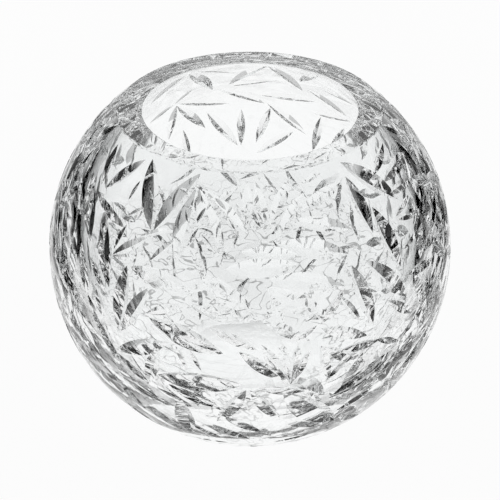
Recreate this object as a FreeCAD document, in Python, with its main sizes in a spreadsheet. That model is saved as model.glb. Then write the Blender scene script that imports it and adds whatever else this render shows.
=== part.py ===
import FreeCAD, Part
import math
import os
import Sketcher
from FreeCAD import Matrix, Placement, Rotation, Vector

# A rose bowl of clear cut crystal: one heavy ball of glass with a wide mouth, a flat
# polished rim, a flat foot, and leaf-shaped mitre cuts all over its outside.
# The origin is on the axis at the foot, +Z is up, and the front of the bowl faces -Y.

os.makedirs("parts", exist_ok=True)
doc = FreeCAD.newDocument("rose_bowl")

# Driving sizes in millimetres, and one angle in degrees.
SIZES = (
    ("ball_radius", 76.0, "outside of the ball"),
    ("mouth_radius", 39.2, "inner edge of the flat rim"),
    ("rim_width", 9.2, "flat rim, from the mouth to its outer edge"),
    ("foot_radius", 32.0, "flat that the bowl stands on"),
    ("floor_thickness", 9.0, "glass under the lowest point of the hollow"),
    ("bevel_width", 0.6, "polished bevel on the rim's two edges and the foot's edge"),
    ("full_wheel_share", 2.4, "cutting wheel's radius in leaf lengths, on most leaves"),
    ("slim_wheel_share", 4.0, "the same on the slim leaves of the far side"),
    ("flank_angle", 55.0, "from the middle plane of a cut to either of its flanks"),
    ("cut_overrun", 0.5, "how far a cutting wedge is carried past the ball"),
)

sheet = doc.addObject("Spreadsheet::Sheet", "sizes")
for row, (alias, number, note) in enumerate(SIZES, start=1):
    sheet.set(f"A{row}", str(number))
    sheet.setAlias(f"A{row}", alias)
    sheet.set(f"B{row}", note)
doc.recompute()


def size(alias):
    """The value of one named size, read from the sheet."""
    return float(sheet.get(alias))


ball_radius = size("ball_radius")
mouth_radius = size("mouth_radius")
rim_radius = mouth_radius + size("rim_width")
foot_radius = size("foot_radius")
floor_thickness = size("floor_thickness")
bevel_width = size("bevel_width")
cut_overrun = size("cut_overrun")

# The ball's centre stands over the foot, and the rim is cut off above the centre.
centre_height = math.sqrt(ball_radius**2 - foot_radius**2)
rim_rise = math.sqrt(ball_radius**2 - rim_radius**2)
rim_height = centre_height + rim_rise
rim_latitude = math.atan2(rim_rise, rim_radius)
foot_latitude = math.atan2(centre_height, foot_radius)

# The hollow is one ball too, through the mouth's edge and down to the floor.
hollow_depth = rim_height - floor_thickness
hollow_radius = (mouth_radius**2 + hollow_depth**2) / (2 * hollow_depth)
hollow_centre = floor_thickness + hollow_radius
mouth_latitude = math.atan2(rim_height - hollow_centre, mouth_radius)


# The blown and ground blank: half its section, turned round the axis.
blank = doc.addObject("PartDesign::Body", "blank")
roles = {feature.Role: feature for feature in blank.Origin.OriginFeatures}
section = blank.newObject("Sketcher::SketchObject", "half_section")
section.AttachmentSupport = [(roles["XZ_Plane"], "")]
section.MapMode = "FlatFace"

UP, OUT = Vector(0, 1, 0), Vector(1, 0, 0)
DOWNWARDS = -math.pi / 2
HALF_ROUND, ROUND = 180, 360


def half_circle_arc(height, radius, low, high):
    """An arc about a centre on the axis, from one latitude up to another."""
    circle = Part.Circle(UP * height, Vector(0, 0, 1), radius)
    return Part.ArcOfCircle(circle, low, high)


foot_line = section.addGeometry(Part.LineSegment(Vector(), OUT * foot_radius))
outer_arc = section.addGeometry(
    half_circle_arc(centre_height, ball_radius, -foot_latitude, rim_latitude)
)
rim_line = section.addGeometry(
    Part.LineSegment(
        OUT * rim_radius + UP * rim_height, OUT * mouth_radius + UP * rim_height
    )
)
inner_arc = section.addGeometry(
    half_circle_arc(hollow_centre, hollow_radius, DOWNWARDS, mouth_latitude)
)
axis_line = section.addGeometry(Part.LineSegment(UP * floor_thickness, Vector()))

START, END, CENTRE = 1, 2, 3
ORIGIN = (-1, START)
VERTICAL_AXIS = -2
for joined in (
    (foot_line, START, *ORIGIN),
    (foot_line, END, outer_arc, START),
    (outer_arc, END, rim_line, START),
    (rim_line, END, inner_arc, END),
    (inner_arc, START, axis_line, START),
    (axis_line, END, foot_line, START),
):
    section.addConstraint(Sketcher.Constraint("Coincident", *joined))
section.addConstraint(Sketcher.Constraint("Horizontal", foot_line))
section.addConstraint(Sketcher.Constraint("Horizontal", rim_line))
section.addConstraint(Sketcher.Constraint("Vertical", axis_line))
for arc in (outer_arc, inner_arc):
    centre_on_axis = ("PointOnObject", arc, CENTRE, VERTICAL_AXIS)
    section.addConstraint(Sketcher.Constraint(*centre_on_axis))


def dimension(name, kind, *places):
    """Adds a driving dimension to the section and ties it to the size it is named for."""
    number = section.addConstraint(Sketcher.Constraint(kind, *places, size(name)))
    section.renameConstraint(number, name)
    section.setExpression(f"Constraints.{name}", f"<<sizes>>.{name}")


dimension("ball_radius", "Radius", outer_arc)
dimension("foot_radius", "DistanceX", foot_line, START, foot_line, END)
dimension("mouth_radius", "DistanceX", *ORIGIN, rim_line, END)
dimension("rim_width", "DistanceX", rim_line, END, rim_line, START)
dimension("floor_thickness", "DistanceY", *ORIGIN, axis_line, START)

turned = blank.newObject("PartDesign::Revolution", "turned_ball")
turned.Profile = section
turned.ReferenceAxis = (section, ["V_Axis"])
turned.Angle = ROUND
doc.recompute()


def flat_circle_edges(shape):
    """Names of the edges that are whole circles round the axis at the rim and the foot."""
    names = []
    for number, edge in enumerate(shape.Edges, start=1):
        level = edge.BoundBox.ZLength < bevel_width
        if level and edge.isClosed():
            names.append(f"Edge{number}")
    return names


polished = blank.newObject("PartDesign::Chamfer", "polished_bevels")
polished.Base = (turned, flat_circle_edges(turned.Shape))
polished.setExpression("Size", "<<sizes>>.bevel_width")
blank.Tip = polished

# Leaf cuts. A row is one leaf, tip to tip: turn, height, turn, height. Turns are degrees
# round the bowl from its front, to the right seen from there. Heights are hundredths of
# the way from the ball's widest line up to the rim's edge, or below zero down to the foot's.
FRONT_LEAF_SHARES = (
    (-46, 95, -56, 71), (-43, 97, -32, 62), (-20, 97, -31, 62), (-59, 67, -41, 58),
    (-32, 58, -43, 42), (-67, 73, -53, 42), (-71, 62, -60, 48), (-51, 60, -42, 24),
    (-37, 40, -38, 2), (-29, 32, -37, 2), (-65, 93, -59, 71), (-76, 87, -71, 58),
    (-20, 89, -22, 48), (-19, 89, -8, 50), (-18, 89, -1, 67), (-1, 95, -1, 69),
    (2, 95, 5, 67), (15, 95, 6, 69), (20, 87, 8, 62), (29, 95, 19, 91),
    (3, 97, 10, 87), (-8, 48, 14, 50), (-15, 46, 2, 24), (-36, 40, -16, 36),
    (-29, 18, -17, 28), (-28, 16, -7, 2), (14, 73, 33, 62), (8, 62, 30, 50),
    (5, 44, 27, 34), (4, 40, 22, 18), (25, 30, 31, 12), (38, 89, 40, 56),
    (43, 69, 47, 32), (39, 97, 55, 65), (30, 44, 35, 8), (35, 44, 48, 14),
    (40, 18, 50, 2), (36, -2, 45, -9), (51, 83, 66, 93), (51, 58, 61, 63),
    (62, 60, 56, 28), (71, 87, 66, 54), (-62, 44, -58, 14), (-57, 38, -50, 12),
    (-49, 8, -41, -8), (3, 22, 16, 8), (19, 14, 33, 2), (52, 24, 57, -5),
    (64, 50, 70, 24),
)
LOWER_LEAF_SHARES = (
    (-55, -28, -47, -38), (-43, -26, -35, -45), (-27, -23, -16, -32), (-33, -40, -23, -57),
    (-39, -9, -22, 4), (-39, -11, -29, -22), (-61, -2, -54, -17), (-26, -15, -2, -14),
    (-3, 4, 9, -12), (11, -14, 16, 2), (17, -20, 21, -34), (23, -28, 43, -12),
    (27, -40, 39, -31), (30, -48, 44, -61), (50, -29, 64, -14), (9, -65, 23, -60),
    (-21, -66, -8, -66), (-1, -17, -10, -40), (0, -17, 9, -38), (10, -40, 24, -51),
    (-12, -43, 0, -58), (46, -34, 58, -51), (64, -17, 70, -41), (-70, -12, -65, -37),
    (-63, -40, -53, -58), (-46, -48, -37, -66), (20, 2, 33, -12), (60, -46, 66, -66),
)
RIGHT_LEAF_SHARES = (
    (84, 95, 76, 63), (85, 95, 97, 69), (108, 97, 98, 69), (109, 95, 119, 67),
    (130, 95, 120, 67), (76, 60, 92, 42), (98, 65, 93, 34), (99, 63, 114, 44),
    (120, 63, 115, 36), (137, 71, 122, 50), (91, 36, 76, 24), (94, 30, 104, 4),
    (114, 40, 105, 8), (116, 34, 130, 16), (132, 44, 136, 12), (74, 18, 86, -3),
)
LEFT_LEAF_SHARES = (
    (-84, 97, -96, 71), (-85, 95, -79, 62), (-106, 93, -97, 67), (-107, 93, -118, 65),
    (-129, 97, -119, 65), (-79, 56, -90, 30), (-97, 63, -92, 30), (-98, 65, -112, 44),
    (-119, 62, -113, 30), (-120, 60, -134, 44), (-90, 24, -78, 4), (-93, 24, -104, 6),
    (-112, 28, -105, 0), (-115, 34, -129, 18), (-134, 40, -131, 6), (-74, 44, -67, 14),
)
# Turns here are from the middle of the far side, whose leaves are slim.
BACK_LEAF_SHARES = (
    (-8, 95, -20, 62), (-8, 95, 8, 65), (-11, 71, 7, 63), (-27, 89, -20, 75),
    (-33, 93, -20, 73), (6, 81, 25, 93), (14, 60, 20, 83), (14, 60, 29, 93),
    (-5, 44, 13, 62), (7, 44, 27, 52), (-24, 52, -4, 52), (22, 65, 28, 52),
    (28, 52, 37, 40), (30, 91, 40, 62), (-6, 44, -19, 20), (-7, 40, -2, 10),
    (3, 38, 3, 8), (15, 38, 4, 8), (27, 50, 15, 24), (27, 50, 28, 20),
    (23, 26, 20, 0), (-25, 38, -21, 8), (-15, 22, -2, 2), (-37, 42, -22, 40),
    (-42, 63, -29, 69), (-36, 46, -22, 65), (-34, 34, -27, 10),
)
# Smaller leaves that fill the ground between the others.
FILL_LEAF_SHARES = (
    (-4, 92, -13, 82), (-3, 58, 15, 55), (-18, 57, -14, 47), (-16, 27, 2, 22), (-10, 16, 2, 5),
    (3, 8, 11, -15), (8, 10, 11, -14), (13, 7, 11, -15), (-25, 1, -30, -23), (-20, 3, -17, -8),
    (-16, 2, -13, -8), (-23, -19, -9, -29), (10, 34, 3, 21), (5, 39, 9, 19), (27, 33, 19, 16),
    (12, 8, 18, 16), (24, -2, 37, -3), (19, 4, 22, -16), (27, -6, 21, -16), (32, -6, 26, -24),
    (51, -8, 45, -19), (45, -14, 39, -27), (38, -18, 34, -31), (9, -19, 29, -50),
    (2, -16, 15, -20), (-41, -12, -35, -31), (-38, -24, -25, -33), (-20, -26, -21, -58),
    (-15, -21, -8, -31), (-8, -35, 4, -49), (-19, -47, -10, -57), (16, 76, 35, 87),
    (52, 70, 68, 68), (53, 77, 74, 80), (51, 56, 64, 52), (71, 59, 71, 42), (50, 40, 59, 45),
    (56, 32, 70, 35), (49, 26, 62, 23), (64, 19, 61, -3), (-81, 59, -69, 39),
    (-51, 34, -43, 20), (-47, 20, -44, 3), (-43, 45, -41, 60), (-43, 41, -34, 46),
    (-44, 72, -43, 84), (-42, 64, -36, 73), (-35, 57, -26, 65), (-59, 8, -52, -5),
    (-53, -8, -49, -25), (-46, -1, -38, -15), (-30, 46, -23, 61), (-18, 34, -10, 41),
    (84, 84, 87, 57), (108, 86, 109, 58), (130, 86, 133, 58), (95, 26, 89, 5),
    (124, 46, 127, 26), (117, 28, 117, 0), (81, 52, 73, 38), (-84, 84, -88, 57),
    (-107, 84, -107, 56), (-129, 86, -131, 60), (-105, 38, -103, 16), (-124, 40, -123, 16),
    (-117, 26, -117, 2), (-83, 30, -86, 10),
)
# One stretch of the lower half, which goes three times round the sides and the back.
STRETCH_LEAF_SHARES = (
    (2, -6, 12, -26), (24, -5, 13, -26), (25, -5, 39, -18), (48, -2, 40, -22),
    (50, -3, 65, -14), (12, -31, 0, -48), (14, -31, 26, -48), (39, -25, 28, -46),
    (41, -25, 54, -37), (67, -18, 56, -38), (54, -41, 46, -63), (56, -41, 69, -52),
    (26, -51, 12, -61), (29, -51, 43, -63), (1, -52, 9, -72),
    (30, -14, 20, -30), (58, -12, 50, -26), (71, -8, 69, -32), (13, -37, 14, -56),
    (40, -31, 42, -56), (59, -46, 58, -68),
)
# The slanting leaves next to the foot are all alike.
FOOT_LEAF_SHARES = ((0, -72, 13, -94),)

FIRST_STRETCH_TURN, STRETCH_TURN, STRETCHES = 74, 71, 3
FOOT_LEAVES = 12
WHOLE_SHARE = 100


def turned_rows(rows, turn):
    """The same leaves, turned round the bowl."""
    return [(a + turn, low, b + turn, high) for a, low, b, high in rows]


full_leaves = list(FRONT_LEAF_SHARES + LOWER_LEAF_SHARES)
full_leaves += RIGHT_LEAF_SHARES + LEFT_LEAF_SHARES + FILL_LEAF_SHARES
for count in range(STRETCHES):
    stretch_start = FIRST_STRETCH_TURN + count * STRETCH_TURN
    full_leaves += turned_rows(STRETCH_LEAF_SHARES, stretch_start)
for count in range(FOOT_LEAVES):
    full_leaves += turned_rows(FOOT_LEAF_SHARES, count * ROUND / FOOT_LEAVES)
slim_leaves = turned_rows(BACK_LEAF_SHARES, HALF_ROUND)


def direction(turn, height_share):
    """The way from the ball's centre to a leaf's tip, one long."""
    edge = rim_latitude if height_share > 0 else foot_latitude
    latitude = edge * height_share / WHOLE_SHARE
    turn = math.radians(turn)
    flat = math.cos(latitude)
    return Vector(flat * math.sin(turn), -flat * math.cos(turn), math.sin(latitude))


def wheel_cut(leaf, wheel_share):
    """The glass that a mitre wheel takes away for one leaf, about the ball's centre.

    The wheel's edge is a wedge. Pressed into the ball until its edge comes out at the
    leaf's two tips, it leaves two flanks that meet in a curved valley.
    """
    first, last = direction(*leaf[:2]), direction(*leaf[2:])
    outward = (first + last).normalize()
    along = (last - first).normalize()
    across = outward.cross(along)
    half_angle = first.getAngle(last) / 2
    half_length = ball_radius * math.sin(half_angle)
    wheel_radius = 2 * half_length * wheel_share
    hub_to_chord = math.sqrt(wheel_radius**2 - half_length**2)
    depth = ball_radius * (1 - math.cos(half_angle)) + wheel_radius - hub_to_chord
    reach = depth + cut_overrun
    half_width = reach * math.tan(math.radians(size("flank_angle")))
    half_sweep = math.asin(half_length / wheel_radius) + cut_overrun / wheel_radius

    # The wheel turns about its own X, with its hub at zero and the leaf below it.
    edge = Vector(0, -wheel_radius, 0)
    shoulder = Vector(half_width, reach - wheel_radius, 0)
    other_shoulder = Vector(-half_width, reach - wheel_radius, 0)
    wedge = Part.Face(Part.makePolygon([edge, shoulder, other_shoulder, edge]))
    sweep = math.degrees(half_sweep)
    wedge.rotate(Vector(), OUT, -sweep)
    cut = wedge.revolve(Vector(), OUT, 2 * sweep)
    hub = outward * (ball_radius + wheel_radius - depth)
    cut.Placement = Placement(
        Matrix(
            across.x, outward.x, along.x, hub.x,
            across.y, outward.y, along.y, hub.y,
            across.z, outward.z, along.z, hub.z,
        )
    )
    return cut


cuts = [wheel_cut(leaf, size("full_wheel_share")) for leaf in full_leaves]
cuts += [wheel_cut(leaf, size("slim_wheel_share")) for leaf in slim_leaves]
leaf_cuts = doc.addObject("Part::Feature", "leaf_cuts")
leaf_cuts.Shape = Part.makeCompound(cuts)
leaf_cuts.Placement = Placement(Vector(0, 0, centre_height), Rotation())

bowl = doc.addObject("Part::Cut", "glass_bowl")
bowl.Base = blank
bowl.Tool = leaf_cuts
bowl.Label = "glass_bowl"
doc.recompute()

for item in doc.Objects:
    if "Invalid" in item.State or "Error" in item.State:
        raise RuntimeError(f"{item.Label} is {item.State}")

PARTS = (bowl,)
for part in PARTS:
    if part.Shape.isNull() or not part.Shape.isValid():
        raise RuntimeError(f"{part.Label} has no valid shape")
    box = part.Shape.optimalBoundingBox()
    print(part.Label, len(part.Shape.Solids), "solid", len(part.Shape.Faces), "faces")
    print(f"{box.XLength:.2f} x {box.YLength:.2f} x {box.ZLength:.2f} mm,", end=" ")
    print(f"{part.Shape.Volume:.0f} mm3, {len(cuts)} leaf cuts")
    part.Shape.exportStep(f"parts/{part.Label}.step")
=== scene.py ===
"""A rose bowl of clear cut crystal on a white studio table.

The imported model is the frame. Its one node is dressed with a finer bowl of the same
sizes: a blank turned from its section, ground by mitre wheels into leaf cuts, and
polished, so that each face bends light as the real curved face does.

Lengths are in millimetres until a mesh is made, which is in metres.
"""

import logging
import math
from dataclasses import dataclass
from enum import Enum

import bpy
import numpy as np
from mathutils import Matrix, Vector


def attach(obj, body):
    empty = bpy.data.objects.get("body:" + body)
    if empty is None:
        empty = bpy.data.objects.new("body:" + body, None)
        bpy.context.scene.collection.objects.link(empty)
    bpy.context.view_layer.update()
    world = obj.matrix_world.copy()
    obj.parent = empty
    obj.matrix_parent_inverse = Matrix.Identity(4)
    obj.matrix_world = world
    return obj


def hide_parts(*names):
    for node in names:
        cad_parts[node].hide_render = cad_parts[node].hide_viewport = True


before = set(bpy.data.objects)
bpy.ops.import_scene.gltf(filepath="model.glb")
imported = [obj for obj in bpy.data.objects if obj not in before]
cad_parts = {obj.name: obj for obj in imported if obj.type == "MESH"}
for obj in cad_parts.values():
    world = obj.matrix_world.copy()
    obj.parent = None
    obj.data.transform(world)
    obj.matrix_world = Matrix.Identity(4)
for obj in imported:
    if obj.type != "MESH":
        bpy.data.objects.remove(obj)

MM = 0.001
NOISE_MIDDLE = 0.5
log = logging.getLogger("rose_bowl")

# Leaf cuts. A row is one leaf, tip to tip: turn, height, turn, height. Turns are degrees
# round the bowl from its front, to the right seen from there. Heights are hundredths of
# the way from the ball's widest line up to the rim's edge, or below zero down to the foot's.
FRONT_LEAVES = (
    (-46, 95, -56, 71), (-43, 97, -32, 62), (-20, 97, -31, 62), (-59, 67, -41, 58),
    (-32, 58, -43, 42), (-67, 73, -53, 42), (-71, 62, -60, 48), (-51, 60, -42, 24),
    (-37, 40, -38, 2), (-29, 32, -37, 2), (-65, 93, -59, 71), (-76, 87, -71, 58),
    (-20, 89, -22, 48), (-19, 89, -8, 50), (-18, 89, -1, 67), (-1, 95, -1, 69),
    (2, 95, 5, 67), (15, 95, 6, 69), (20, 87, 8, 62), (29, 95, 19, 91),
    (3, 97, 10, 87), (-8, 48, 14, 50), (-15, 46, 2, 24), (-36, 40, -16, 36),
    (-29, 18, -17, 28), (-28, 16, -7, 2), (14, 73, 33, 62), (8, 62, 30, 50),
    (5, 44, 27, 34), (4, 40, 22, 18), (25, 30, 31, 12), (38, 89, 40, 56),
    (43, 69, 47, 32), (39, 97, 55, 65), (30, 44, 35, 8), (35, 44, 48, 14),
    (40, 18, 50, 2), (36, -2, 45, -9), (51, 83, 66, 93), (51, 58, 61, 63),
    (62, 60, 56, 28), (71, 87, 66, 54), (-62, 44, -58, 14), (-57, 38, -50, 12),
    (-49, 8, -41, -8), (3, 22, 16, 8), (19, 14, 33, 2), (52, 24, 57, -5),
    (64, 50, 70, 24),
)
LOWER_LEAVES = (
    (-55, -28, -47, -38), (-43, -26, -35, -45), (-27, -23, -16, -32), (-33, -40, -23, -57),
    (-39, -9, -22, 4), (-39, -11, -29, -22), (-61, -2, -54, -17), (-26, -15, -2, -14),
    (-3, 4, 9, -12), (11, -14, 16, 2), (17, -20, 21, -34), (23, -28, 43, -12),
    (27, -40, 39, -31), (30, -48, 44, -61), (50, -29, 64, -14), (9, -65, 23, -60),
    (-21, -66, -8, -66), (-1, -17, -10, -40), (0, -17, 9, -38), (10, -40, 24, -51),
    (-12, -43, 0, -58), (46, -34, 58, -51), (64, -17, 70, -41), (-70, -12, -65, -37),
    (-63, -40, -53, -58), (-46, -48, -37, -66), (20, 2, 33, -12), (60, -46, 66, -66),
)
RIGHT_LEAVES = (
    (84, 95, 76, 63), (85, 95, 97, 69), (108, 97, 98, 69), (109, 95, 119, 67),
    (130, 95, 120, 67), (76, 60, 92, 42), (98, 65, 93, 34), (99, 63, 114, 44),
    (120, 63, 115, 36), (137, 71, 122, 50), (91, 36, 76, 24), (94, 30, 104, 4),
    (114, 40, 105, 8), (116, 34, 130, 16), (132, 44, 136, 12), (74, 18, 86, -3),
)
LEFT_LEAVES = (
    (-84, 97, -96, 71), (-85, 95, -79, 62), (-106, 93, -97, 67), (-107, 93, -118, 65),
    (-129, 97, -119, 65), (-79, 56, -90, 30), (-97, 63, -92, 30), (-98, 65, -112, 44),
    (-119, 62, -113, 30), (-120, 60, -134, 44), (-90, 24, -78, 4), (-93, 24, -104, 6),
    (-112, 28, -105, 0), (-115, 34, -129, 18), (-134, 40, -131, 6), (-74, 44, -67, 14),
)
# The leaves of the far side are slim, and their turns are from its middle.
BACK_LEAVES = (
    (-8, 95, -20, 62), (-8, 95, 8, 65), (-11, 71, 7, 63), (-27, 89, -20, 75),
    (-33, 93, -20, 73), (6, 81, 25, 93), (14, 60, 20, 83), (14, 60, 29, 93),
    (-5, 44, 13, 62), (7, 44, 27, 52), (-24, 52, -4, 52), (22, 65, 28, 52),
    (28, 52, 37, 40), (30, 91, 40, 62), (-6, 44, -19, 20), (-7, 40, -2, 10),
    (3, 38, 3, 8), (15, 38, 4, 8), (27, 50, 15, 24), (27, 50, 28, 20),
    (23, 26, 20, 0), (-25, 38, -21, 8), (-15, 22, -2, 2), (-37, 42, -22, 40),
    (-42, 63, -29, 69), (-36, 46, -22, 65), (-34, 34, -27, 10),
)
BACK_TURNS = (180,)
# Smaller leaves that fill the ground between the others.
FILL_LEAVES = (
    (-4, 92, -13, 82), (-3, 58, 15, 55), (-18, 57, -14, 47), (-16, 27, 2, 22), (-10, 16, 2, 5),
    (3, 8, 11, -15), (8, 10, 11, -14), (13, 7, 11, -15), (-25, 1, -30, -23), (-20, 3, -17, -8),
    (-16, 2, -13, -8), (-23, -19, -9, -29), (10, 34, 3, 21), (5, 39, 9, 19), (27, 33, 19, 16),
    (12, 8, 18, 16), (24, -2, 37, -3), (19, 4, 22, -16), (27, -6, 21, -16), (32, -6, 26, -24),
    (51, -8, 45, -19), (45, -14, 39, -27), (38, -18, 34, -31), (9, -19, 29, -50),
    (2, -16, 15, -20), (-41, -12, -35, -31), (-38, -24, -25, -33), (-20, -26, -21, -58),
    (-15, -21, -8, -31), (-8, -35, 4, -49), (-19, -47, -10, -57), (16, 76, 35, 87),
    (52, 70, 68, 68), (53, 77, 74, 80), (51, 56, 64, 52), (71, 59, 71, 42), (50, 40, 59, 45),
    (56, 32, 70, 35), (49, 26, 62, 23), (64, 19, 61, -3), (-81, 59, -69, 39),
    (-51, 34, -43, 20), (-47, 20, -44, 3), (-43, 45, -41, 60), (-43, 41, -34, 46),
    (-44, 72, -43, 84), (-42, 64, -36, 73), (-35, 57, -26, 65), (-59, 8, -52, -5),
    (-53, -8, -49, -25), (-46, -1, -38, -15), (-30, 46, -23, 61), (-18, 34, -10, 41),
    (84, 84, 87, 57), (108, 86, 109, 58), (130, 86, 133, 58), (95, 26, 89, 5),
    (124, 46, 127, 26), (117, 28, 117, 0), (81, 52, 73, 38), (-84, 84, -88, 57),
    (-107, 84, -107, 56), (-129, 86, -131, 60), (-105, 38, -103, 16), (-124, 40, -123, 16),
    (-117, 26, -117, 2), (-83, 30, -86, 10),
)
# One stretch of the lower half, which comes three times: on each side and at the back.
STRETCH_LEAVES = (
    (2, -6, 12, -26), (24, -5, 13, -26), (25, -5, 39, -18), (48, -2, 40, -22),
    (50, -3, 65, -14), (12, -31, 0, -48), (14, -31, 26, -48), (39, -25, 28, -46),
    (41, -25, 54, -37), (67, -18, 56, -38), (54, -41, 46, -63), (56, -41, 69, -52),
    (26, -51, 12, -61), (29, -51, 43, -63), (1, -52, 9, -72),
    (30, -14, 20, -30), (58, -12, 50, -26), (71, -8, 69, -32), (13, -37, 14, -56),
    (40, -31, 42, -56), (59, -46, 58, -68),
)
STRETCH_TURNS = (74, 145, 216)
# One leaf low down, all round the foot.
FOOT_LEAF = ((0, -72, 13, -94),)
FOOT_TURNS = tuple(range(0, 360, 30))


def unit(vectors: np.ndarray) -> np.ndarray:
    """Gives each vector the length one, along the last axis."""
    return vectors / np.linalg.norm(vectors, axis=-1, keepdims=True)


def linear(hex_colour: str) -> tuple[float, float, float, float]:
    """Turns an sRGB colour into Blender's linear colour.

    Each channel c is c / 12.92 up to 0.04045, and ((c + 0.055) / 1.055) ** 2.4 above.

    Args:
        hex_colour: The colour as "#RRGGBB".

    Returns:
        Red, green, blue and an alpha of one.
    """
    channels = [int(hex_colour[i:i + 2], 16) / 255 for i in (1, 3, 5)]
    return (*[c / 12.92 if c <= 0.04045 else ((c + 0.055) / 1.055) ** 2.4 for c in channels], 1.0)


def node(
    tree: bpy.types.NodeTree, kind: str, links: dict | None = None, **settings: object
) -> bpy.types.Node:
    """Adds one node to a tree.

    Args:
        tree: The node tree.
        kind: The node's type name, such as "ShaderNodeMath".
        links: What goes into its inputs: a value, or another node's output socket.
        settings: The node's own properties.

    Returns:
        The new node.
    """
    made = tree.nodes.new(kind)
    for name, value in settings.items():
        setattr(made, name, value)
    for key, value in (links or {}).items():
        if isinstance(value, bpy.types.NodeSocket):
            tree.links.new(value, made.inputs[key])
        else:
            made.inputs[key].default_value = value
    return made


def mesh_object(name: str, points: np.ndarray, faces: list[np.ndarray]) -> bpy.types.Object:
    """Makes a mesh object at the origin from points in millimetres.

    Args:
        name: The object's name.
        points: One row of x, y, z per point.
        faces: Arrays of point numbers, one row per face, each array with its own row length.

    Returns:
        The new object, linked to the scene.
    """
    mesh = bpy.data.meshes.new(name)
    mesh.from_pydata((points * MM).tolist(), [], [row for block in faces for row in block.tolist()])
    made = bpy.data.objects.new(name, mesh)
    bpy.context.scene.collection.objects.link(made)
    return made


def read(items: bpy.types.bpy_prop_collection, name: str, kind: type, width: int) -> np.ndarray:
    """Reads one property of all faces, corners or points of a mesh.

    Args:
        items: The mesh's collection.
        name: The property's name.
        kind: The type of its numbers.
        width: How many numbers an item has.

    Returns:
        One row per item, or one number where the width is one.
    """
    values = np.empty(len(items) * width, kind)
    items.foreach_get(name, values)
    return values.reshape(-1, width) if width > 1 else values


class Wheel(Enum):
    """The cutter's mitre wheels, by their radius in lengths of the leaf they cut.

    A larger wheel leaves a narrower and shallower leaf.
    """

    FULL = 2.4
    SLIM = 4.0


@dataclass(frozen=True)
class PolishedCrystal:
    """Lead crystal, wheel-cut and then polished bright.

    Crystal with about a quarter of lead oxide bends light more than window glass, which
    gives the hard black and white in its cuts. It is all but colourless. The polish
    leaves it bright, with very low waves that make straight edges seen through it waver.
    """

    name: str = "polished_lead_crystal"
    colour: str = "#FDFEFE"
    ior: float = 1.545
    roughness: float = 0.0
    wave_length: float = 7.0
    wave_height: float = 0.05
    wave_detail: float = 1.0

    def material(self) -> bpy.types.Material:
        """Makes the material: clear glass with low polishing waves.

        Returns:
            The material.
        """
        made = bpy.data.materials.new(self.name)
        made.use_nodes = True
        tree = made.node_tree
        shader = tree.nodes["Principled BSDF"]
        shader.inputs["Base Color"].default_value = linear(self.colour)
        shader.inputs["IOR"].default_value = self.ior
        shader.inputs["Roughness"].default_value = self.roughness
        shader.inputs["Transmission Weight"].default_value = 1.0
        place = node(tree, "ShaderNodeTexCoord")
        waves = node(
            tree, "ShaderNodeTexNoise",
            {
                "Vector": place.outputs["Object"], "Scale": 1 / (self.wave_length * MM),
                "Detail": self.wave_detail,
            },
        )
        bump = node(
            tree, "ShaderNodeBump",
            {"Height": waves.outputs[0], "Strength": 1.0, "Distance": self.wave_height * MM},
        )
        tree.links.new(bump.outputs["Normal"], shader.inputs["Normal"])
        return made


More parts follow.
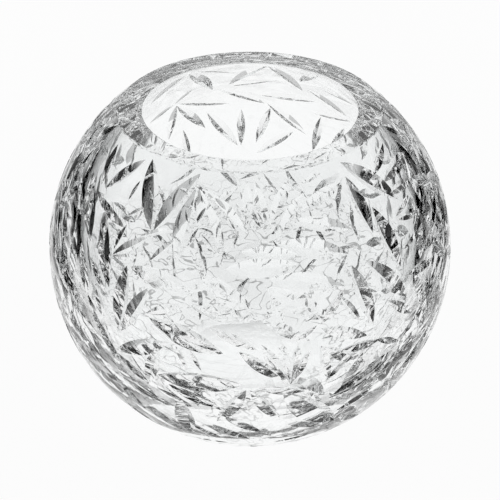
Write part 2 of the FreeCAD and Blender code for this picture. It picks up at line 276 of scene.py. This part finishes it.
@dataclass
class GlassBowl:
    """The bowl: one heavy ball of glass with a mouth, a flat rim, a flat foot and leaf cuts.

    The flank angle is in degrees off a leaf's middle plane. The mesh has as many steps
    round the axis as around says, and along the section they are step long.
    """

    ball_radius: float = 76.0
    mouth_radius: float = 39.2
    rim_width: float = 9.2
    foot_radius: float = 32.0
    floor_thickness: float = 9.0
    bevel_width: float = 0.6
    flank_angle: float = 55.0
    cut_overrun: float = 0.5
    around: int = 240
    step: float = 2.0
    bevel_steps: int = 3
    cut_steps: int = 18
    finish: PolishedCrystal = PolishedCrystal()

    def __post_init__(self) -> None:
        """Works out the sizes that follow from the driving ones.

        The rim and the foot are planes that cut the ball, where height off its centre is
        sqrt(ball radius^2 - ring radius^2). The hollow is the part of a ball that touches
        the floor and goes through the mouth's edge, so its radius is
        (mouth radius^2 + depth^2) / (2 * depth).
        """
        self.rim_radius = self.mouth_radius + self.rim_width
        self.centre_height = math.sqrt(self.ball_radius**2 - self.foot_radius**2)
        rim_rise = math.sqrt(self.ball_radius**2 - self.rim_radius**2)
        self.rim_height = self.centre_height + rim_rise
        self.rim_latitude = math.atan2(rim_rise, self.rim_radius)
        self.foot_latitude = math.atan2(self.centre_height, self.foot_radius)
        depth = self.rim_height - self.floor_thickness
        self.hollow_radius = (self.mouth_radius**2 + depth**2) / (2 * depth)
        self.hollow_centre = self.floor_thickness + self.hollow_radius
        self.mouth_latitude = math.atan2(self.rim_height - self.hollow_centre, self.mouth_radius)

    def corner(self, before: np.ndarray, at: np.ndarray, after: np.ndarray) -> np.ndarray:
        """Rounds one corner of the section as polishing does.

        The arc is a curve of second degree: (1-t)^2 * start + 2t(1-t) * corner + t^2 * end,
        whose start and end lie one bevel width from the corner along its two sides.

        Args:
            before: A point on the side before the corner.
            at: The corner.
            after: A point on the side after it.

        Returns:
            The arc's points.
        """
        start = at + unit(before - at) * self.bevel_width
        end = at + unit(after - at) * self.bevel_width
        t = np.linspace(0, 1, self.bevel_steps + 1)[:, None]
        return (1 - t) ** 2 * start + 2 * t * (1 - t) * at + t**2 * end

    def section(self) -> np.ndarray:
        """Gives the outline of half the section, from the foot's middle to the hollow's.

        Returns:
            One row of radius and height per point.
        """

        def arc(low: float, high: float, radius: float, height: float) -> np.ndarray:
            """Points on a circle about the axis's point at that height, one step apart."""
            angle = np.linspace(low, high, round(radius * abs(high - low) / self.step) + 1)
            return np.stack([radius * np.cos(angle), height + radius * np.sin(angle)], -1)

        bevel = self.bevel_width / self.ball_radius
        outside = arc(
            bevel - self.foot_latitude, self.rim_latitude - bevel, self.ball_radius, self.centre_height
        )
        inside = arc(
            self.mouth_latitude - self.bevel_width / self.hollow_radius,
            -math.pi / 2, self.hollow_radius, self.hollow_centre,
        )
        middle = np.zeros((1, 2))
        foot = np.array([self.foot_radius, 0.0])
        rim = np.array([self.rim_radius, self.rim_height])
        mouth = np.array([self.mouth_radius, self.rim_height])
        inside[-1, 0] = 0.0
        return np.concatenate([
            middle,
            self.corner(middle[0], foot, outside[0])[:-1], outside,
            self.corner(outside[-1], rim, mouth)[1:],
            self.corner(rim, mouth, inside[0])[:-1], inside,
        ])

    def blank(self) -> bpy.types.Object:
        """Turns the section round the axis: a point (radius, height) goes to
        (radius * cos(turn), radius * sin(turn), height), and both ends close in one point.

        Returns:
            The blank as a closed mesh.
        """
        section = self.section()
        rings, count = section[1:-1], self.around
        turn = np.arange(count) * (2 * math.pi / count)
        points = np.stack(
            [
                rings[:, None, 0] * np.cos(turn),
                rings[:, None, 0] * np.sin(turn),
                np.broadcast_to(rings[:, None, 1], (len(rings), count)),
            ],
            -1,
        ).reshape(-1, 3)
        ends = np.array([[0, 0, section[0, 1]], [0, 0, section[-1, 1]]])
        ring = np.arange(len(rings) - 1)[:, None] * count
        here, there = np.arange(count), (np.arange(count) + 1) % count
        walls = np.stack([ring + here, ring + there, ring + count + there, ring + count + here], -1)
        foot, last = len(points), (len(rings) - 1) * count
        below = np.stack([np.full(count, foot), there, here], -1)
        bottom = np.stack([np.full(count, foot + 1), last + here, last + there], -1)
        faces = [walls.reshape(-1, 4), below, bottom]
        return mesh_object("glass_rose_bowl", np.concatenate([points, ends]), faces)

    def direction(self, turn: np.ndarray, share: np.ndarray) -> np.ndarray:
        """Gives the ways from the ball's centre to the leaves' tips, each one long:
        (cos(latitude) * sin(turn), -cos(latitude) * cos(turn), sin(latitude)).

        Args:
            turn: The tips' turns in degrees from the front.
            share: Their heights in hundredths of the rim's latitude, or of the foot's.

        Returns:
            One row of x, y, z per tip.
        """
        latitude = np.where(share > 0, self.rim_latitude, self.foot_latitude) * share / 100
        turn = np.radians(turn)
        flat = np.cos(latitude)
        return np.stack([flat * np.sin(turn), -flat * np.cos(turn), np.sin(latitude)], -1)

    def leaves(self) -> tuple[np.ndarray, np.ndarray]:
        """Gathers the leaf cuts from their tables.

        Returns:
            The leaves' rows, and for each the radius of its wheel in leaf lengths.
        """

        def turned(rows: tuple, turns: tuple) -> np.ndarray:
            """The same rows at each of the turns."""
            turns = np.asarray(turns, float)[:, None, None] * (1, 0, 1, 0)
            return (np.asarray(rows, float)[None] + turns).reshape(-1, 4)

        full = np.concatenate([
            turned(FRONT_LEAVES + LOWER_LEAVES + RIGHT_LEAVES + LEFT_LEAVES + FILL_LEAVES, (0,)),
            turned(STRETCH_LEAVES, STRETCH_TURNS),
            turned(FOOT_LEAF, FOOT_TURNS),
        ])
        slim = turned(BACK_LEAVES, BACK_TURNS)
        wheels = np.repeat([Wheel.FULL.value, Wheel.SLIM.value], [len(full), len(slim)])
        return np.concatenate([full, slim]), wheels


@dataclass
class LeafCuts:
    """All leaf cuts of a bowl at once. A mitre wheel has a wedge for an edge.

    Pressed into the ball until its edge comes out at the leaf's two tips, it takes away
    what lies within its radius and within its wedge, where distance from the middle plane
    <= (wheel radius - distance from the wheel's axis) * tan(flank angle). That leaves two
    flanks, each part of a cone, which meet in a curved valley.
    """

    bowl: GlassBowl

    def __post_init__(self) -> None:
        """Works out each wheel's place from its leaf's tips.

        The wheel's edge goes through both tips, which are a chord of the ball. So the cut's
        depth is the ball's rise over the chord, ball radius * (1 - cos(half angle)), and the
        wheel's dip below it, wheel radius - sqrt(wheel radius^2 - half length^2).
        """
        bowl = self.bowl
        rows, wheel_share = bowl.leaves()
        first = bowl.direction(rows[:, 0], rows[:, 1])
        last = bowl.direction(rows[:, 2], rows[:, 3])
        self.outward, self.along = unit(first + last), unit(last - first)
        self.across = np.cross(self.outward, self.along)
        half_angle = np.arccos((first * last).sum(-1)) / 2
        half_length = bowl.ball_radius * np.sin(half_angle)
        self.wheel = 2 * half_length * wheel_share
        hub_to_chord = np.sqrt(self.wheel**2 - half_length**2)
        depth = bowl.ball_radius * (1 - np.cos(half_angle)) + self.wheel - hub_to_chord
        self.reach = depth + bowl.cut_overrun
        self.half_sweep = np.arcsin(half_length / self.wheel) + bowl.cut_overrun / self.wheel
        up = np.array([0, 0, bowl.centre_height])
        self.hub = up + self.outward * (bowl.ball_radius + self.wheel - depth)[:, None]
        self.spread = math.tan(math.radians(bowl.flank_angle))

    def wedges(self) -> np.ndarray:
        """The corners of each cutting wedge: at every step of the sweep, the wheel's edge
        and its two shoulders, from hub + (cos * inward + sin * along) * radius.

        Returns:
            Points by leaf, in rows of three per step.
        """
        steps = np.linspace(-1, 1, self.bowl.cut_steps + 1)
        sweep = (self.half_sweep[:, None] * steps)[..., None]
        spoke = self.along[:, None] * np.sin(sweep) - self.outward[:, None] * np.cos(sweep)
        hub, wheel = self.hub[:, None], self.wheel[:, None, None]
        edge = hub + spoke * wheel
        middle = hub + spoke * (wheel - self.reach[:, None, None])
        side = (self.across * (self.reach * self.spread)[:, None])[:, None]
        return np.stack([edge, middle + side, middle - side], 2).reshape(len(self.wheel), -1, 3)

    def rounds(self, wedges: np.ndarray) -> list[np.ndarray]:
        """Sorts the wedges into rounds in which none touches another, because the cutting
        needs solids that don't overlap. Two may share a round if no point of the one comes
        nearer to a point of the other than half the deepest wedge.

        Args:
            wedges: What wedges() gave.

        Returns:
            The numbers of the leaves in each round.
        """
        middle = wedges.mean(1)
        size = np.linalg.norm(wedges - middle[:, None], axis=-1).max(1)
        between = np.linalg.norm(middle[:, None] - middle, axis=-1)
        clear = self.reach.max() / 2
        near = between < size[:, None] + size + clear
        for one, other in np.argwhere(np.triu(near, 1)):
            gap = np.linalg.norm(wedges[one][:, None] - wedges[other], axis=-1).min()
            near[one, other] = near[other, one] = gap < clear
        taken = np.full(len(wedges), -1)
        for leaf in np.argsort(-near.sum(1), kind="stable"):
            used = set(taken[near[leaf]].tolist())
            taken[leaf] = next(number for number in range(len(wedges)) if number not in used)
        return [np.flatnonzero(taken == number) for number in range(taken.max() + 1)]

    def cutter(self, number: int, wedges: np.ndarray) -> bpy.types.Object:
        """Makes one round's wedges a single closed cutter.

        Each step of a wedge is a triangle. Three walls join it to the next one, and the
        first and the last triangle are the wedge's ends.

        Args:
            number: The round's number.
            wedges: The points of its wedges.

        Returns:
            The cutter's object.
        """
        steps = self.bowl.cut_steps
        step, side = 3 * np.arange(steps)[:, None], np.arange(3)
        after = (side + 1) % 3
        walls = np.stack([step + side, step + after, step + 3 + after, step + 3 + side], -1).reshape(-1, 4)
        ends = np.array([[2, 1, 0], [3 * steps, 3 * steps + 1, 3 * steps + 2]])
        start = np.arange(len(wedges))[:, None, None] * wedges.shape[1]
        faces = [(start + walls).reshape(-1, 4), (start + ends).reshape(-1, 3)]
        return mesh_object(f"wheel_round_{number}", wedges.reshape(-1, 3), faces)

    def grind(self, blank: bpy.types.Object) -> int:
        """Takes all the leaves out of the blank, a round at a time.

        Args:
            blank: The blank's object, whose mesh is changed.

        Returns:
            The number of leaves cut.
        """
        wedges = self.wedges()
        cutters = [self.cutter(i, wedges[leaves]) for i, leaves in enumerate(self.rounds(wedges))]
        for cutter in cutters:
            cut = blank.modifiers.new(cutter.name, "BOOLEAN")
            cut.operation, cut.solver, cut.object = "DIFFERENCE", "MANIFOLD", cutter
        view = bpy.context.evaluated_depsgraph_get()
        ground = bpy.data.meshes.new_from_object(blank.evaluated_get(view))
        blank.modifiers.clear()
        plain, blank.data = blank.data, ground
        bpy.data.meshes.remove(plain)
        for cutter in cutters:
            bpy.data.meshes.remove(cutter.data)
        return len(wedges)

    def off_flank(self, points: np.ndarray, leaf: np.ndarray) -> tuple[np.ndarray, np.ndarray, np.ndarray]:
        """Measures points against the wedge of a leaf each: across is the distance from its
        middle plane, spoke the way from its axis, and the point lies on a flank where
        |across| / spread + distance from the axis - wheel radius is zero. Divided by
        hypot(1, 1 / spread), that is how far it is off.

        Args:
            points: The points.
            leaf: The number of the leaf for each.

        Returns:
            How far each point is off the flank, its distance across, and its spoke.
        """
        arm = points - self.hub[leaf]
        across = (arm * self.across[leaf]).sum(-1)
        spoke = arm - across[..., None] * self.across[leaf]
        distance = np.linalg.norm(spoke, axis=-1)
        off = (np.abs(across) / self.spread + distance - self.wheel[leaf]) / math.hypot(1, 1 / self.spread)
        return off, across, spoke / distance[..., None]


@dataclass
class PolishedFaces:
    """The true direction of every face of the ground bowl, at every corner.

    A mesh only comes near a ball or a cone. Light goes through the glass many times, so
    the corners carry the normals of the real curved faces, and the edges stay crisp. A
    face is part of a real one where its middle is near it and it faces the same way: near
    is in millimetres, and same_way is the cosine of the angle between the two.
    """

    bowl: GlassBowl
    cuts: LeafCuts
    near: float = 0.05
    same_way: float = 0.999

    def leaf_faces(self, middle: np.ndarray, facing: np.ndarray) -> np.ndarray:
        """Finds whose flank each face is part of: the nearest one that faces the same way.
        A flank faces along -(side * across / spread + spoke), where side is 1 or -1.

        Args:
            middle: The middles of the faces.
            facing: Their normals.

        Returns:
            The number of each face's leaf, or -1 where it is no flank.
        """
        cuts = self.cuts
        best = np.full(len(middle), self.near)
        found = np.full(len(middle), -1)
        for leaf, (hub, wheel) in enumerate(zip(cuts.hub, cuts.wheel)):
            some = np.flatnonzero(np.linalg.norm(middle - hub, axis=-1) < wheel + self.near)
            off, across, spoke = cuts.off_flank(middle[some], np.full(len(some), leaf))
            faced = -(np.sign(across)[:, None] * cuts.across[leaf] / cuts.spread + spoke)
            match = (unit(faced) * facing[some]).sum(-1) > self.same_way
            take = match & (np.abs(off) < best[some])
            best[some[take]] = np.abs(off[take])
            found[some[take]] = leaf
        return found

    def apply(self, glass: bpy.types.Object) -> dict[str, int]:
        """Sets the corner normals of the ground bowl.

        A flank's are its cone's. On what is left, the ball's normal is away from its
        centre, the hollow's is towards its own, and flats and bevels keep the mesh's.

        Args:
            glass: The ground bowl.

        Returns:
            How many faces there are of each kind.
        """
        mesh, bowl, cuts = glass.data, self.bowl, self.cuts
        mesh.polygons.foreach_set("use_smooth", np.ones(len(mesh.polygons), bool))
        middle = read(mesh.polygons, "center", float, 3) / MM
        facing = read(mesh.polygons, "normal", float, 3)
        owner = np.repeat(np.arange(len(middle)), read(mesh.polygons, "loop_total", int, 1))
        corner_point = read(mesh.loops, "vertex_index", int, 1)
        points = read(mesh.vertices, "co", float, 3)[corner_point] / MM

        normals = facing[owner]
        ball = np.array([0, 0, bowl.centre_height])
        hollow = np.array([0, 0, bowl.hollow_centre])
        for centre, radius, sign in ((ball, bowl.ball_radius, 1), (hollow, bowl.hollow_radius, -1)):
            away = middle - centre
            on = np.abs(np.linalg.norm(away, axis=-1) - radius) < self.near
            on &= sign * (unit(away) * facing).sum(-1) > self.same_way
            normals = np.where(on[owner, None], sign * unit(points - centre), normals)

        leaves = self.leaf_faces(middle, facing)
        cut = np.flatnonzero(leaves[owner] >= 0)
        leaf = leaves[owner[cut]]
        side = np.sign(cuts.off_flank(middle[owner[cut]], leaf)[1])[:, None]
        spoke = cuts.off_flank(points[cut], leaf)[2]
        normals[cut] = -unit(side * cuts.across[leaf] / cuts.spread + spoke)
        mesh.normals_split_custom_set(normals.tolist())
        return {"faces": len(middle), "flank faces": int((leaves >= 0).sum())}


@dataclass(frozen=True)
class TablePaper:
    """Matt white paper, lit evenly by lamps out of the picture. Nothing mirrors in it.

    The camera sees it as even white. Through the glass it is seen with painted shadow and light in place
    of what the bowl does to it: painted caustics, thin dark lines like those that cut glass throws on its
    table, where |noise - 0.5| is small, and painted shade that darkens it towards the front of the room.
    What is left of its own shade keeps the bowl's shadow. Each pair is where a smooth step starts and
    where it ends.
    """

    name: str = "matt_white_paper"
    colour: str = "#FFFFFF"
    shade_kept: float = 0.03
    painted_caustic_length: float = 10.0
    painted_caustic_detail: float = 1.0
    painted_caustic_twist: float = 1.0
    painted_caustic_edge: tuple[float, float] = (0.008, 0.028)
    painted_caustic_level: float = 0.5
    painted_caustic_start: tuple[float, float] = (50.0, 30.0)
    painted_caustic_reach: tuple[float, float] = (120.0, 170.0)
    painted_front_shade: tuple[float, float] = (-400.0, -120.0)
    painted_front_shade_level: float = 0.4

    def material(self) -> bpy.types.Material:
        """Makes the material: diffuse paper mixed with the tone that is seen.

        The tone is one to the camera. To the glass it is the painted caustics' level times the painted
        front shade's, with no painted caustic line nearer to the foot's middle than their start or past
        their reach.

        Returns:
            The material.
        """
        made = bpy.data.materials.new(self.name)
        made.use_nodes = True
        tree = made.node_tree
        tree.nodes.clear()
        path = node(tree, "ShaderNodeLightPath").outputs
        place = node(tree, "ShaderNodeTexCoord").outputs["Object"]
        away = node(tree, "ShaderNodeVectorMath", {0: place}, operation="LENGTH").outputs["Value"]
        forward = node(tree, "ShaderNodeSeparateXYZ", {0: place}).outputs["Y"]
        noise = node(
            tree, "ShaderNodeTexNoise",
            {
                "Vector": place, "Scale": 1 / (self.painted_caustic_length * MM),
                "Detail": self.painted_caustic_detail, "Distortion": self.painted_caustic_twist,
            },
        )
        off = node(tree, "ShaderNodeMath", {0: noise.outputs[0], 1: NOISE_MIDDLE}, operation="SUBTRACT")
        distance = node(tree, "ShaderNodeMath", {0: off.outputs[0]}, operation="ABSOLUTE")
        # Painted light: the bowl's caustic lines and the shade towards the front are painted into the tone
        # that the glass sees.
        painted_caustic, start, reach, painted_front_shade = (
            node(
                tree, "ShaderNodeMapRange",
                {"Value": value, "From Min": first * scale, "From Max": last * scale, "To Min": low},
                interpolation_type="SMOOTHSTEP",
            ).outputs[0]
            for value, (first, last), scale, low in (
                (distance.outputs[0], self.painted_caustic_edge, 1, self.painted_caustic_level),
                (away, self.painted_caustic_start, MM, 0.0),
                (away, self.painted_caustic_reach, MM, 0.0),
                (forward, self.painted_front_shade, MM, self.painted_front_shade_level),
            )
        )
        level, share = painted_caustic, path["Is Camera Ray"]
        for operation, value in (
            ("MAXIMUM", start), ("MAXIMUM", reach), ("MULTIPLY", painted_front_shade), ("MAXIMUM", path["Is Camera Ray"]),
        ):
            level = node(tree, "ShaderNodeMath", {0: level, 1: value}, operation=operation).outputs[0]
        for operation, value in (
            ("MAXIMUM", path["Is Glossy Ray"]), ("MAXIMUM", path["Is Transmission Ray"]),
            ("MULTIPLY", 1 - self.shade_kept),
        ):
            share = node(tree, "ShaderNodeMath", {0: share, 1: value}, operation=operation).outputs[0]
        seen = node(tree, "ShaderNodeEmission", {"Color": linear(self.colour), "Strength": level})
        paper = node(tree, "ShaderNodeBsdfDiffuse", {"Color": linear(self.colour)})
        mixed = node(tree, "ShaderNodeMixShader", {0: share, 1: paper.outputs[0], 2: seen.outputs[0]})
        node(tree, "ShaderNodeOutputMaterial", {"Surface": mixed.outputs[0]})
        return made


@dataclass(frozen=True)
class GlowingCard:
    """Card that is black in the middle and glows softly over to grey at its edges: painted light.

    The glass bends it into the black flanks of the cuts, and its soft edges into the grey ones beside
    them. The grey is painted light, emitted because no lamp lights the card evenly.

    Each pair is where a fade is still black and where it is grey, in millimetres: along
    the card towards the back and the front, and up it towards the top and the foot.
    """

    name: str = "black_and_grey_card"
    grey: str = "#CACACA"
    back_fade: tuple[float, float] = (90.0, 190.0)
    front_fade: tuple[float, float] = (-40.0, -100.0)
    top_fade: tuple[float, float] = (140.0, 190.0)
    foot_fade: tuple[float, float] = (20.0, 0.0)

    def material(self) -> bpy.types.Material:
        """Makes the material: the emitted tone alone, painted light, since only the glass sees the card.
        The tone is the greatest of the four fades.

        Returns:
            The material.
        """
        made = bpy.data.materials.new(self.name)
        made.use_nodes = True
        tree = made.node_tree
        tree.nodes.clear()
        place = node(tree, "ShaderNodeTexCoord").outputs["Object"]
        axes = node(tree, "ShaderNodeSeparateXYZ", {0: place}).outputs
        level = 0.0
        for axis, (black, grey) in (
            ("Y", self.back_fade), ("Y", self.front_fade), ("Z", self.top_fade), ("Z", self.foot_fade),
        ):
            faded = node(
                tree, "ShaderNodeMapRange",
                {"Value": axes[axis], "From Min": black * MM, "From Max": grey * MM},
                interpolation_type="SMOOTHSTEP",
            ).outputs[0]
            level = node(tree, "ShaderNodeMath", {0: level, 1: faded}, operation="MAXIMUM").outputs[0]
        # Painted light: the card's grey is emitted, standing in for lamp light on it.
        tone = node(tree, "ShaderNodeEmission", {"Color": linear(self.grey), "Strength": level})
        node(tree, "ShaderNodeOutputMaterial", {"Surface": tone.outputs[0]})
        return made


@dataclass
class Softbox:
    """One soft lamp: a white cloth of even brightness, square on to the bowl.

    Its turn and rise, and how wide and tall it looks, are in degrees as seen from the
    bowl's middle. Level is how bright the cloth looks, where 1 is white.
    """

    name: str
    turn: float
    rise: float
    wide: float
    tall: float
    level: float
    away: float = 600.0

    def build(self, aim: float) -> None:
        """Makes the lamp.

        Its power is level * pi * area, which gives its cloth that level, and a side is
        2 * distance * tan(angle / 2).

        Args:
            aim: The height of the bowl's middle in millimetres.
        """
        lamp = bpy.data.lights.new(self.name, "AREA")
        lamp.shape = "RECTANGLE"
        lamp.size = 2 * self.away * math.tan(math.radians(self.wide / 2)) * MM
        lamp.size_y = 2 * self.away * math.tan(math.radians(self.tall / 2)) * MM
        lamp.energy = self.level * math.pi * lamp.size * lamp.size_y
        made = bpy.data.objects.new(self.name, lamp)
        turn, rise = math.radians(self.turn), math.radians(self.rise)
        way = Vector((math.sin(turn) * math.cos(rise), -math.cos(turn) * math.cos(rise), math.sin(rise)))
        made.location = (way * self.away + Vector((0, 0, aim))) * MM
        made.rotation_euler = (-way).to_track_quat("-Z", "Y").to_euler()
        made.visible_camera = False
        bpy.context.scene.collection.objects.link(made)


@dataclass
class Studio:
    """A white table in a dark room, as cut glass is photographed.

    A card that glows grey at its edges, painted light, stands along each side of the bowl, just out of the
    picture. The flanks of the cuts turn black, grey or white by what they look towards.
    faces of glass before it leaves the bowl, so it may bounce often.
    """

    table_side: float = 16000.0
    table_back: float = 1500.0
    wall_height: float = 1500.0
    table_drop: float = 0.1
    card_distance: float = 150.0
    card_front: float = -90.0
    card_back: float = 500.0
    card_height: float = 200.0
    bowl_middle: float = 70.0
    room_level: float = 0.01
    room_colour: str = "#FFFFFF"
    bounces: int = 32
    paper: TablePaper = TablePaper()
    card: GlowingCard = GlowingCard()
    lamps: tuple[Softbox, ...] = (
        Softbox("front_left_softbox", -52.0, 8.0, 44.0, 28.0, 0.3),
        Softbox("front_right_softbox", 52.0, 8.0, 44.0, 28.0, 0.3),
    )

    def sheet(
        self, name: str, start: tuple[float, float, float], end: tuple[float, float, float],
        finish: TablePaper | GlowingCard,
    ) -> bpy.types.Object:
        """Makes one flat stage piece that lies level or stands upright.

        Args:
            name: The piece's name.
            start: One of its corners in millimetres.
            end: The corner across from it.
            finish: The finish it gets.

        Returns:
            The piece, which is no part of the bowl.
        """
        (x0, y0, z0), (x1, y1, z1) = start, end
        if z1 > z0:
            corners = [start, (x1, y1, z0), end, (x0, y0, z1)]
        else:
            corners = [start, (x1, y0, z0), end, (x0, y1, z0)]
        made = mesh_object(name, np.array(corners), [np.arange(4)[None]])
        made.data.materials.append(finish.material())
        return made

    def room(self) -> None:
        """Makes the world: white to the camera, and nearly dark to all else."""
        world = bpy.data.worlds.new("dark_room")
        bpy.context.scene.world = world
        world.use_nodes = True
        tree = world.node_tree
        tree.nodes.clear()
        path = node(tree, "ShaderNodeLightPath")
        strength = node(
            tree, "ShaderNodeMapRange",
            {"Value": path.outputs["Is Camera Ray"], "To Min": self.room_level, "To Max": 1.0},
        )
        sky = node(
            tree, "ShaderNodeBackground",
            {"Color": linear(self.room_colour), "Strength": strength.outputs[0]},
        )
        node(tree, "ShaderNodeOutputWorld", {"Surface": sky.outputs[0]})

    def build(self) -> None:
        """Makes the room, the table, the cards and the lamps, and lets light go far into glass."""
        self.room()
        half, back, low = self.table_side / 2, self.table_back, -self.table_drop
        self.sheet("table", (-half, -half, low), (half, back, low), self.paper)
        self.sheet("back_wall", (-half, back, low), (half, back, self.wall_height), self.paper)
        for side, x in (("left", -self.card_distance), ("right", self.card_distance)):
            start, end = (x, self.card_front, low), (x, self.card_back, self.card_height)
            self.sheet(f"{side}_card", start, end, self.card).visible_camera = False
        for lamp in self.lamps:
            lamp.build(self.bowl_middle)
        cycles = bpy.context.scene.cycles
        cycles.max_bounces = cycles.transmission_bounces = cycles.glossy_bounces = self.bounces


@dataclass
class PhotoCamera:
    """The camera at the photograph's angle.

    Places are in metres from the foot's middle, the lens and the sensor in millimetres.
    """

    place: tuple[float, float, float] = (0.0, -0.65144, 0.45856)
    aim: tuple[float, float, float] = (0.0, 0.0, 0.06714)
    lens: float = 143.64
    sensor_width: float = 36.0

    def build(self) -> None:
        """Makes the camera and points it at its aim."""
        camera = bpy.data.cameras.new("photo_camera")
        camera.lens, camera.sensor_width = self.lens, self.sensor_width
        made = bpy.data.objects.new("photo_camera", camera)
        made.location = self.place
        way = Vector(self.aim) - Vector(self.place)
        made.rotation_euler = way.to_track_quat("-Z", "Y").to_euler()
        bpy.context.scene.collection.objects.link(made)
        bpy.context.scene.camera = made


def main() -> None:
    """Builds the camera, the studio and the bowl in order, and logs the leaves cut and the faces."""
    logging.basicConfig(level=logging.INFO, format="%(name)s: %(message)s")
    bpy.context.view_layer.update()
    PhotoCamera().build()
    Studio().build()
    bpy.context.scene.view_settings.view_transform = "Standard"
    bowl = GlassBowl()
    glass = bowl.blank()
    cuts = LeafCuts(bowl)
    log.info("glass_rose_bowl: %d leaves cut", cuts.grind(glass))
    log.info("glass_rose_bowl: %s", PolishedFaces(bowl, cuts).apply(glass))
    glass.data.materials.clear()
    glass.data.materials.append(bowl.finish.material())
    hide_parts("glass_bowl")
    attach(glass, "root")


if __name__ == "__main__":
    main()
